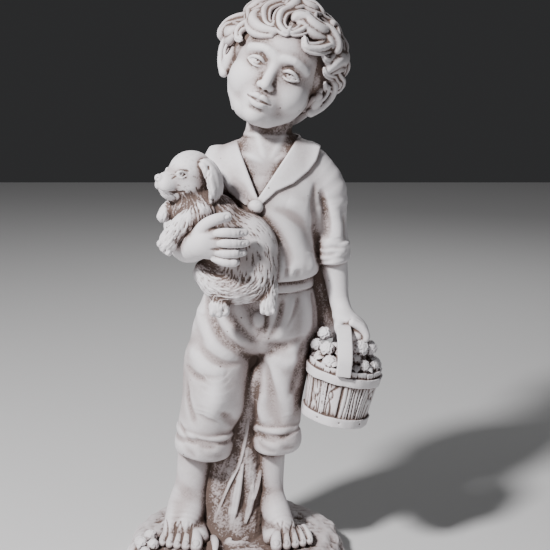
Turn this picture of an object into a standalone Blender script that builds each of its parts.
"""A cast stone garden statue: a curly-haired boy in a sailor shirt and rolled trousers, with a puppy
under one arm and a basket of roses in the other hand, standing on a low round mound of rock.

The whole statue is one casting, so it is one solid. It is built the way a modeller builds it in clay:
lumps, limbs and lofts are laid over one another, fused, smoothed and thinned out.

The figure faces -Y, +Z is up and the origin is the middle of the mound's underside. The figure's own
points are in parts, thousandths of its height, measured from the top of the mound.
"""

import math
import random

import bmesh
import bpy
from mathutils import Euler, Matrix, Vector

# Driving dimensions, in metres
FIGURE_HEIGHT = 0.750
MOUND_RADIUS = 0.156
MOUND_HEIGHT = 0.050
BASKET_RIM_RADIUS = 0.052
BASKET_FOOT_RADIUS = 0.044
BASKET_HEIGHT = 0.078
BASKET_HOOP_HEIGHT = 0.012
BASKET_HOOP_STANDS_OUT = 0.0025
BASKET_HANDLE_WIDTH = 0.012
BASKET_STAVES = 14

PART = FIGURE_HEIGHT / 1000
FUSING_GRAIN = FIGURE_HEIGHT / 340
SHARE_OF_FACES_KEPT = 0.0226
CUT_DEPTH = 0.02
SINK = 0.006

STONE_COLOUR = (0.72, 0.70, 0.68, 1.0)
STONE_ROUGHNESS = 0.75


def turned(x=0.0, y=0.0, z=0.0):
    """A turn about the three axes, in degrees."""
    return Euler((math.radians(x), math.radians(y), math.radians(z))).to_matrix().to_4x4()


def placed(frame, x, y, z, turn=None):
    """A frame of its own at a point of another one."""
    return frame @ Matrix.Translation((x, y, z)) @ (turn or Matrix.Identity(4))


FIGURE = Matrix.Translation((0, 0, MOUND_HEIGHT)) @ Matrix.Scale(PART, 4)
HEAD = placed(FIGURE, 82, -6, 880, turned(-4, 24, -7))
PUPPY_HEAD = placed(FIGURE, -66, -98, 705, turned(0, 2, 24))
LEFT_CUFF = placed(FIGURE, -58, -10, 183, turned(0, 10, 0))
RIGHT_CUFF = placed(FIGURE, 82, 0, 183, turned(0, 3, 0))
BASKET_FOOT_AT = (187, -40, 241)
BASKET_LEAN = 11


def between(a, b, share):
    return a + (b - a) * share


def flowing(knots, steps):
    """Tuples on a smooth curve through the given ones, which are tuples of any length."""
    rows = [knots[0], *knots, knots[-1]]
    found = []
    for k in range(1, len(rows) - 2):
        before, here, after, beyond = rows[k - 1 : k + 3]
        for step in range(steps):
            t = step / steps
            found.append(
                tuple(
                    0.5 * (2 * h + (a - b) * t + (2 * b - 5 * h + 4 * a - y) * t**2 + (3 * h - b - 3 * a + y) * t**3)
                    for b, h, a, y in zip(before, here, after, beyond)
                )
            )
    found.append(tuple(knots[-1]))
    return found


class Clay:
    """Closed shells that overlap, gathered in one mesh until they are fused."""

    def __init__(self):
        self.bm = bmesh.new()
        one = bmesh.new()
        bmesh.ops.create_uvsphere(one, u_segments=20, v_segments=12, radius=1)
        self.ball = bpy.data.meshes.new("ball")
        one.to_mesh(self.ball)
        one.free()

    def lump(self, centre, radii, frame=FIGURE, turn=None):
        """An egg with its own three radii."""
        egg = self.ball.copy()
        egg.transform(placed(frame, *centre, turn) @ Matrix.Diagonal((*radii, 1)))
        self.bm.from_mesh(egg)
        bpy.data.meshes.remove(egg)

    def limb(self, knots, frame=FIGURE, steps=4):
        """A round limb that swells and thins along a smooth line. Each knot is x, y, z and the radius."""
        rows = flowing(knots, steps)
        curve = bpy.data.curves.new("limb", "CURVE")
        curve.dimensions = "3D"
        curve.bevel_depth = 1
        curve.bevel_resolution = 3
        curve.use_fill_caps = True
        spline = curve.splines.new("POLY")
        spline.points.add(len(rows) - 1)
        for point, (x, y, z, radius) in zip(spline.points, rows):
            point.co = (x, y, z, 1)
            point.radius = radius
        guide = bpy.data.objects.new("limb", curve)
        bpy.context.scene.collection.objects.link(guide)
        swept = bpy.data.meshes.new_from_object(guide.evaluated_get(bpy.context.evaluated_depsgraph_get()))
        swept.transform(frame)
        self.bm.from_mesh(swept)
        bpy.data.objects.remove(guide)
        bpy.data.curves.remove(curve)
        bpy.data.meshes.remove(swept)
        for x, y, z, radius in (rows[0], rows[-1]):
            self.lump((x, y, z), (radius, radius, radius), frame)

    def loft(self, sections, frame=FIGURE, steps=4, sides=28, ripple=None):
        """A body of level oval rings. Each section is z, the middle's x and y, and the two half widths."""
        rings = []
        for z, x, y, half_x, half_y in flowing(sections, steps):
            ring = []
            for k in range(sides):
                angle = 2 * math.pi * k / sides
                swell = 1 + (ripple(angle, z) if ripple else 0)
                point = (x + half_x * swell * math.cos(angle), y + half_y * swell * math.sin(angle), z)
                ring.append(self.bm.verts.new(frame @ Vector(point)))
            rings.append(ring)
        for lower, upper in zip(rings, rings[1:]):
            for k in range(sides):
                j = (k + 1) % sides
                self.bm.faces.new((lower[k], lower[j], upper[j], upper[k]))
        self.bm.faces.new(rings[0][::-1])
        self.bm.faces.new(rings[-1])

    def slab(self, size, frame):
        """A box of the given size about a frame's origin."""
        bmesh.ops.create_cube(self.bm, size=1, matrix=frame @ Matrix.Diagonal((*size, 1)))


def mirrored(points):
    """The same tuples on the head's other side."""
    return [(-point[0], *point[1:]) for point in points]


def both_sides(shape, knots, *rest):
    """Makes a shape on the head's right and on its left."""
    shape(knots, *rest)
    shape(mirrored(knots), *rest)


def add_head(clay):
    """Skull, cheeks, jaw, neck, ears and the face, in the head's own frame, with the face towards -Y."""
    clay.lump((0, 10, 22), (80, 90, 84), HEAD)
    clay.lump((0, -12, -26), (68, 64, 72), HEAD)
    clay.lump((0, -42, -80), (30, 28, 26), HEAD)
    both_sides(clay.limb, [(34, -42, -34, 31), (30, -44, -54, 28)], HEAD)
    clay.limb([(0, -74, 6, 6), (0, -84, -14, 7), (0, -88, -30, 9)], HEAD)
    both_sides(clay.limb, [(9, -80, -34, 6), (4, -84, -35, 6)], HEAD)
    both_sides(clay.limb, [(10, -72, 18, 8), (34, -64, 22, 8), (54, -46, 14, 7)], HEAD)
    both_sides(clay.limb, [(22, -67, -1, 8), (38, -61, -2, 8)], HEAD)
    clay.limb([(-17, -68, -56, 5), (0, -73, -54, 6), (17, -68, -56, 5)], HEAD)
    clay.limb([(-13, -68, -63, 5), (0, -71, -64, 6), (13, -68, -63, 5)], HEAD)
    both_sides(clay.limb, [(82, 2, 6, 11), (90, 10, -6, 13), (86, 6, -26, 11), (78, -2, -38, 8)], HEAD)
    clay.limb([(68, 10, 722, 44), (76, 8, 770, 39), (84, 10, 820, 42)])


def lock_of_hair(clay, around, start, end, size, hook, wave):
    """One tapering lock from near the crown outwards, in degrees about the head, ending in a hooked curl."""
    knots = []
    count = 7
    for k in range(count):
        t = k / (count - 1)
        down = math.radians(between(start, end, t))
        side = math.radians(around + wave * math.sin(2.6 * math.pi * t) + hook * t**3)
        lift = 1.0 + 0.05 * math.sin(math.pi * t)
        radius = size * (0.55 + 0.6 * math.sin(math.pi * min(1, 0.15 + 0.8 * t)))
        knots.append(
            (
                103 * lift * math.sin(down) * math.sin(side),
                16 - 98 * lift * math.sin(down) * math.cos(side),
                28 + 92 * lift * math.cos(down),
                radius,
            )
        )
    clay.limb(knots, HEAD, steps=3)


def add_hair(clay):
    """A cap of hair under three rows of locks: the crown's, the hairline's and the nape's."""
    clay.lump((0, 26, 30), (101, 90, 88), HEAD)
    clay.lump((0, 50, -26), (84, 58, 62), HEAD)
    clay.limb([(12, 26, 852, 22), (10, 30, 822, 22), (26, 30, 792, 16)])
    clay.limb([(180, 24, 856, 25), (170, 28, 830, 24), (152, 30, 800, 18)])
    draw = random.Random(7)
    for k in range(11):
        lock_of_hair(clay, 360 * k / 11 + 8, 12, 62, 13, draw.choice((-34, 34)), 10)
    for k in range(17):
        around = 360 * k / 17
        forward = math.cos(math.radians(around))
        end = between(84, 56, max(0, forward) ** 0.6) if forward > 0 else between(84, 96, -forward)
        lock_of_hair(clay, around, 40, end, 13, draw.choice((-30, 30)), 8)
    for k in range(11):
        around = between(84, 276, k / 10)
        lock_of_hair(clay, around, 78, between(118, 132, abs(math.cos(math.radians(around)))), 13, draw.choice((-24, 24)), 7)


def add_shirt(clay):
    """Blouse with its folds, the two short sleeves, the sailor collar and its knot."""
    clay.loft(
        [
            (758, 72, 8, 44, 42),
            (738, 66, 8, 84, 52),
            (706, 58, 6, 112, 62),
            (660, 58, 0, 112, 72),
            (600, 60, -4, 98, 76),
            (552, 64, -6, 92, 80),
            (522, 66, -4, 91, 80),
            (506, 66, -2, 82, 72),
        ]
    )
    clay.limb([(140, 8, 694, 44), (168, 6, 660, 40), (178, 2, 600, 31), (181, -2, 552, 33), (182, -2, 534, 29)])
    clay.limb([(-24, 8, 690, 44), (-58, 4, 664, 40), (-82, -12, 624, 34), (-88, -20, 604, 33)])
    clay.limb([(150, -8, 536, 7), (182, -32, 530, 7), (212, -6, 540, 6)])
    clay.limb([(148, -12, 558, 5), (176, -34, 556, 6), (206, -20, 566, 5)])
    clay.limb([(56, -70, 640, 6), (92, -69, 640, 6), (122, -59, 612, 7), (134, -52, 570, 8), (120, -64, 530, 8)])
    clay.limb([(84, -74, 606, 6), (100, -74, 580, 8), (98, -76, 536, 8)])
    for side, outer in ((1, 156), (-1, -24)):
        clay.limb([(70 + 44 * side, 6, 752, 13), (70 + 32 * side, -44, 712, 10), (45, -70, 658, 8)])
        clay.limb([(70 + 46 * side, 2, 748, 12), (between(60, outer, 0.7), -38, 704, 12), (50 + 8 * side, -70, 664, 8)])
        clay.limb([(outer - 8 * side, 0, 724, 12), (between(60, outer, 0.7), -46, 690, 10), (50 + 8 * side, -72, 660, 7)])
    clay.lump((42, -80, 647), (12, 11, 12))
    clay.limb([(-20, 42, 738, 10), (-26, 62, 700, 9), (-26, 72, 640, 8)])
    clay.limb([(-26, 72, 640, 8), (60, 84, 634, 9), (146, 72, 640, 8)])
    clay.limb([(146, 72, 640, 8), (150, 62, 700, 9), (146, 42, 738, 10)])
    clay.loft([(638, 60, 58, 84, 24), (690, 60, 52, 86, 28), (742, 64, 34, 72, 30)])


def add_carrying_arm(clay):
    """The arm on the puppy's side: bare forearm and a hand laid flat on the puppy."""
    clay.limb([(-88, -22, 600, 28), (-82, -66, 580, 31), (-66, -112, 584, 30), (-36, -146, 596, 25)])
    clay.lump((-22, -152, 598), (27, 14, 33))
    for low, tip, far in ((615, 614, 22), (598, 597, 26), (581, 579, 24), (565, 562, 14)):
        clay.limb([(-16, -158, low, 8.5), (4, -160, between(low, tip, 0.5), 8.5), (far, -148, tip, 7)])
    clay.limb([(-44, -142, 616, 12), (-26, -148, 630, 9), (-4, -146, 634, 7.5)])


def add_hanging_arm(clay):
    """The arm on the basket's side, straight down, with its fist closed round the handle."""
    clay.limb([(184, 0, 540, 25), (193, -2, 490, 21), (198, -10, 448, 18), (204, -24, 428, 18)])
    clay.lump((210, -40, 418), (27, 24, 20))
    for k in range(4):
        clay.limb([(224, -64 + 13 * k, 422, 7.5), (208, -66 + 13 * k, 404, 7.5), (194, -62 + 13 * k, 412, 7)])
    clay.limb([(214, -52, 424, 9), (236, -50, 408, 9), (244, -44, 396, 8)])
    clay.loft([(530, 150, 14, 26, 20), (480, 160, 14, 34, 20), (430, 164, 12, 32, 18), (385, 160, 8, 28, 18)])


def add_trousers(clay):
    """Waistband, seat, two full legs with their folds, and the two rolled cuffs."""
    clay.loft([(500, 50, 0, 98, 68), (486, 50, 0, 101, 71), (476, 50, 0, 99, 69)])
    clay.loft([(482, 50, 2, 98, 68), (440, 46, 4, 112, 76), (402, 40, 4, 117, 78), (376, 36, 6, 106, 66), (358, 38, 8, 60, 34)])
    clay.loft(
        [
            (440, -6, 2, 24, 40),
            (402, -16, 2, 48, 64),
            (362, -27, -2, 61, 68),
            (310, -32, -10, 60, 64),
            (256, -38, -8, 60, 62),
            (220, -50, -6, 57, 58),
            (176, -58, -6, 46, 48),
        ]
    )
    clay.loft(
        [
            (440, 84, 4, 24, 40),
            (402, 94, 4, 50, 64),
            (350, 94, 2, 51, 64),
            (292, 86, 2, 48, 58),
            (250, 82, 4, 44, 52),
            (214, 82, 4, 45, 50),
            (176, 81, 4, 40, 44),
        ]
    )
    clay.loft([(-27, 0, 0, 50, 50), (-22, 0, 0, 57, 56), (0, 0, 0, 57, 56), (20, 0, 0, 56, 55), (26, 0, 0, 50, 50)], LEFT_CUFF)
    clay.loft([(-32, 0, 0, 38, 44), (-27, 0, 0, 45, 50), (0, 0, 0, 47, 52), (26, 0, 0, 46, 51), (32, 0, 0, 40, 44)], RIGHT_CUFF)
    folds = (
        [(-54, -30, 470, 5), (-34, -54, 430, 10), (-6, -65, 396, 9), (22, -57, 368, 6)],
        [(-36, -46, 474, 5), (-8, -66, 440, 9), (22, -62, 400, 6)],
        [(-66, -34, 388, 6), (-68, -46, 344, 9), (-58, -60, 300, 8), (-62, -58, 250, 5)],
        [(-28, -62, 362, 7), (4, -56, 352, 7), (26, -46, 352, 5)],
        [(76, -56, 474, 5), (72, -66, 440, 7), (60, -68, 404, 6)],
        [(106, -50, 474, 5), (114, -58, 430, 8)],
        [(58, -60, 372, 7), (98, -54, 364, 8), (128, -34, 372, 5)],
        [(56, -46, 330, 7), (64, -50, 290, 8), (86, -48, 252, 8), (110, -30, 240, 5)],
        [(50, 66, 470, 6), (30, 78, 420, 9), (-40, 68, 380, 8)],
        [(60, 68, 470, 6), (80, 78, 420, 9), (138, 58, 384, 7)],
        [(-80, 26, 240, 6), (-50, 44, 228, 9), (-10, 34, 236, 6)],
        [(60, 40, 246, 5), (90, 46, 232, 8), (118, 28, 240, 5)],
    )
    for fold in folds:
        clay.limb(fold)


def add_foot(clay, ankle_x, ankle_radius, toes, big_toe_radius, spread):
    """A bare shin and foot with five toes. Toes gives the x of each tip, the big one first."""
    middle = sum(toes) / len(toes)
    knuckle = between(ankle_x, middle, 0.75)
    clay.limb([(ankle_x, 4, 200, ankle_radius * 1.2), (ankle_x, 6, 140, ankle_radius), (ankle_x, 10, 78, ankle_radius)])
    clay.limb([(ankle_x, 20, 22, 24), (ankle_x, 4, 50, ankle_radius), (between(ankle_x, knuckle, 0.6), -30, 30, 27)])
    clay.limb([(between(ankle_x, toes[0], 0.6), -12, 24, 20), (toes[0], -58, 12, 15)])
    clay.limb([(between(ankle_x, toes[-1], 0.5), -12, 16, 18), (toes[-1], -46, 8, 12)])
    clay.limb([(knuckle, -36, 22, 20), (middle, -60, 14, 16)])
    for k, tip in enumerate(toes):
        radius = big_toe_radius * (1 - 0.10 * min(k, 1) - 0.07 * k)
        reach = -92 + spread * k
        base_x = between(tip, middle, 0.12)
        clay.limb([(base_x, reach + 38, 13, radius), (tip, reach + 14, 11, radius * 0.85), (tip, reach, 8, radius)])


def add_feet(clay):
    add_foot(clay, -82, 27, (-66, -84, -101, -117, -132), 11, 5)
    add_foot(clay, 74, 22, (76, 95, 112, 126, 139), 11, 8)


def add_puppy(clay):
    """The puppy looks to the figure's right, with its back round to the front and its hind legs hanging."""
    clay.lump((2, 0, 5), (42, 35, 36), PUPPY_HEAD)
    clay.limb([(-20, 0, -10, 26), (-40, 0, -16, 19), (-50, 0, -18, 14)], PUPPY_HEAD)
    clay.lump((-61, 0, -12), (8, 9, 7), PUPPY_HEAD)
    clay.limb([(-14, 0, -26, 22), (-36, 0, -30, 14), (-47, 0, -30, 9)], PUPPY_HEAD)
    for side in (-1, 1):
        clay.lump((-26, 20 * side, 5), (7, 5, 6), PUPPY_HEAD)
        clay.limb([(8, 30 * side, 18, 10), (18, 36 * side, -4, 16), (24, 36 * side, -30, 14), (22, 34 * side, -46, 6)], PUPPY_HEAD)
    clay.limb([(-52, -88, 690, 34), (-48, -84, 650, 46), (-22, -84, 606, 54), (12, -82, 560, 64), (6, -82, 526, 52)])
    clay.limb([(-10, -72, 660, 34), (26, -74, 610, 40), (44, -78, 568, 40), (42, -80, 534, 38)])
    clay.limb([(50, -92, 522, 32), (26, -98, 506, 28), (-10, -102, 512, 30), (-34, -96, 526, 24)])
    clay.limb([(60, -92, 526, 24), (68, -100, 504, 17), (65, -108, 486, 13), (60, -114, 479, 14)])
    clay.limb([(-14, -102, 508, 18), (-18, -112, 488, 13), (-20, -118, 480, 14)])
    clay.limb([(-58, -108, 660, 22), (-84, -122, 626, 16), (-106, -128, 600, 13), (-114, -132, 592, 14)])
    clay.limb([(-46, -60, 520, 18), (-50, -70, 500, 18)])


def add_basket(clay):
    """Staved bucket basket with two hoops, a flat handle and a heap of roses. Its own frame stands on its foot."""
    rim, foot, height = BASKET_RIM_RADIUS / PART, BASKET_FOOT_RADIUS / PART, BASKET_HEIGHT / PART
    hoop, stands_out = BASKET_HOOP_HEIGHT / PART, BASKET_HOOP_STANDS_OUT / PART
    basket = placed(FIGURE, *BASKET_FOOT_AT, turned(0, BASKET_LEAN, 0))

    def staves(angle, z):
        return 0.012 * abs(math.cos(BASKET_STAVES / 2 * angle))

    clay.loft([(0, 0, 0, foot, foot), (height * 0.5, 0, 0, (rim + foot) / 2, (rim + foot) / 2), (height, 0, 0, rim, rim)],
              basket, sides=BASKET_STAVES * 4, ripple=staves)
    for low in (0, height - 2 * hoop):
        near = between(foot, rim, low / height) + stands_out
        far = between(foot, rim, (low + hoop) / height) + stands_out
        clay.loft([(low, 0, 0, near, near), (low + hoop, 0, 0, far, far)], basket)
    clay.lump((0, 0, height + 4), (rim * 0.9, rim * 0.9, 34), basket)
    draw = random.Random(3)
    for row, count, lift in ((0.74, 9, 12), (0.40, 6, 30)):
        for k in range(count):
            angle = 2 * math.pi * (k + 0.5 * draw.random()) / count
            size = 15 + 4 * draw.random()
            clay.lump((rim * row * math.cos(angle), rim * row * math.sin(angle), height + lift), (size, size, size * 0.85), basket)
    width = BASKET_HANDLE_WIDTH / PART
    for side in (-1, 1):
        strap = [(-4, side * (rim + 3), height - hoop, 6), (-6, side * (rim + 1), height + 20, 6),
                 (-12, side * rim * 0.75 - 4, height + 58, 6), (-16, side * 24 - 10, height + 82, 6)]
        for across in (-0.3, 0, 0.3):
            clay.limb([(x + across * width, y, z, radius) for x, y, z, radius in strap], basket)
    clay.limb([(-16, -36, height + 82, 8), (-16, 16, height + 82, 8)], basket)


def add_reeds(clay):
    """The stump of stone and leaves that fills the space between the legs and carries the casting's weight."""
    clay.loft(
        [
            (-20, -8, 16, 84, 66),
            (30, -6, 14, 66, 54),
            (110, 0, 14, 56, 46),
            (200, 14, 14, 46, 38),
            (290, 26, 12, 34, 32),
            (370, 34, 8, 26, 28),
        ]
    )
    blades = (
        [(-40, -32, 20, 6), (-22, -34, 90, 7), (2, -32, 170, 6), (22, -22, 250, 5)],
        [(-10, -44, 30, 9), (4, -38, 100, 9), (14, -30, 150, 5)],
        [(10, -32, 150, 4), (22, -26, 210, 6), (24, -20, 270, 4)],
        [(20, -42, 20, 10), (28, -34, 60, 9), (34, -26, 100, 5)],
        [(32, -26, 90, 4), (42, -20, 130, 6)],
        [(-30, -60, -4, 8), (-26, -52, 24, 10), (-30, -40, 44, 6)],
        [(-46, -20, 40, 6), (-44, -14, 110, 7), (-30, -14, 150, 5)],
    )
    for blade in blades:
        clay.limb(blade)
    for x, sway in ((-36, -12), (0, 2), (34, 14)):
        clay.limb([(x, 60, 10, 9), (x + sway, 54, 90, 10), (x * 0.6 + sway, 44, 180, 6)])
    for x, y, size in ((-158, -62, 17), (-172, -84, 15), (-150, -96, 14)):
        clay.lump((x, y, 8), (size, size, size))


def add_mound(clay):
    """A low round rock, a little uneven, reaching below the ground plane that it is then cut at."""
    radius, height = MOUND_RADIUS, MOUND_HEIGHT

    def rock(angle, z):
        return 0.018 * math.sin(3 * angle + 1) + 0.012 * math.sin(7 * angle + 60 * z)

    clay.loft(
        [
            (-SINK, 0, 0, radius, radius),
            (0, 0, 0, radius, radius),
            (height * 0.5, 0, 0, radius * 0.99, radius * 0.99),
            (height * 0.8, 0, 0, radius * 0.93, radius * 0.93),
            (height * 0.97, 0, 0, radius * 0.82, radius * 0.82),
            (height, 0, 0, radius * 0.6, radius * 0.6),
        ],
        Matrix.Identity(4),
        steps=3,
        sides=48,
        ripple=rock,
    )


def stone_material():
    material = bpy.data.materials.new("cast_stone")
    material.use_nodes = True
    shader = material.node_tree.nodes["Principled BSDF"]
    shader.inputs["Base Color"].default_value = STONE_COLOUR
    shader.inputs["Roughness"].default_value = STONE_ROUGHNESS
    shader.inputs["Metallic"].default_value = 0
    return material


def fused(clay, name, collection, ground):
    """One closed solid from the gathered shells, smoothed, thinned out and cut flat below."""
    mesh = bpy.data.meshes.new(name)
    clay.bm.to_mesh(mesh)
    statue = bpy.data.objects.new(name, mesh)
    collection.objects.link(statue)
    statue.data.materials.append(stone_material())
    union = statue.modifiers.new("fuse", "REMESH")
    union.mode = "VOXEL"
    union.voxel_size = FUSING_GRAIN
    union.use_smooth_shade = True
    soften = statue.modifiers.new("soften", "SMOOTH")
    soften.factor = 0.5
    soften.iterations = 3
    thin = statue.modifiers.new("thin_out", "DECIMATE")
    thin.ratio = SHARE_OF_FACES_KEPT
    level = statue.modifiers.new("stand_flat", "BOOLEAN")
    level.operation = "DIFFERENCE"
    level.object = ground
    return statue


def new_collection(name):
    collection = bpy.data.collections.new(name)
    bpy.context.scene.collection.children.link(collection)
    return collection


def ground_cutter(collection):
    """The block below the ground plane."""
    cutter = Clay()
    size = 4 * MOUND_RADIUS
    cutter.slab((size, size, CUT_DEPTH), Matrix.Translation((0, 0, -CUT_DEPTH / 2)))
    mesh = bpy.data.meshes.new("below_ground")
    cutter.bm.to_mesh(mesh)
    ground = bpy.data.objects.new("below_ground", mesh)
    ground.hide_render = True
    ground.display_type = "WIRE"
    collection.objects.link(ground)
    return ground


def main():
    for obj in list(bpy.data.objects):
        bpy.data.objects.remove(obj)
    clay = Clay()
    add_mound(clay)
    add_reeds(clay)
    add_feet(clay)
    add_trousers(clay)
    add_shirt(clay)
    add_carrying_arm(clay)
    add_hanging_arm(clay)
    add_head(clay)
    add_hair(clay)
    add_puppy(clay)
    add_basket(clay)
    fused(clay, "boy_with_dog_statue", new_collection("boy_with_dog"), ground_cutter(new_collection("cutters")))


main()
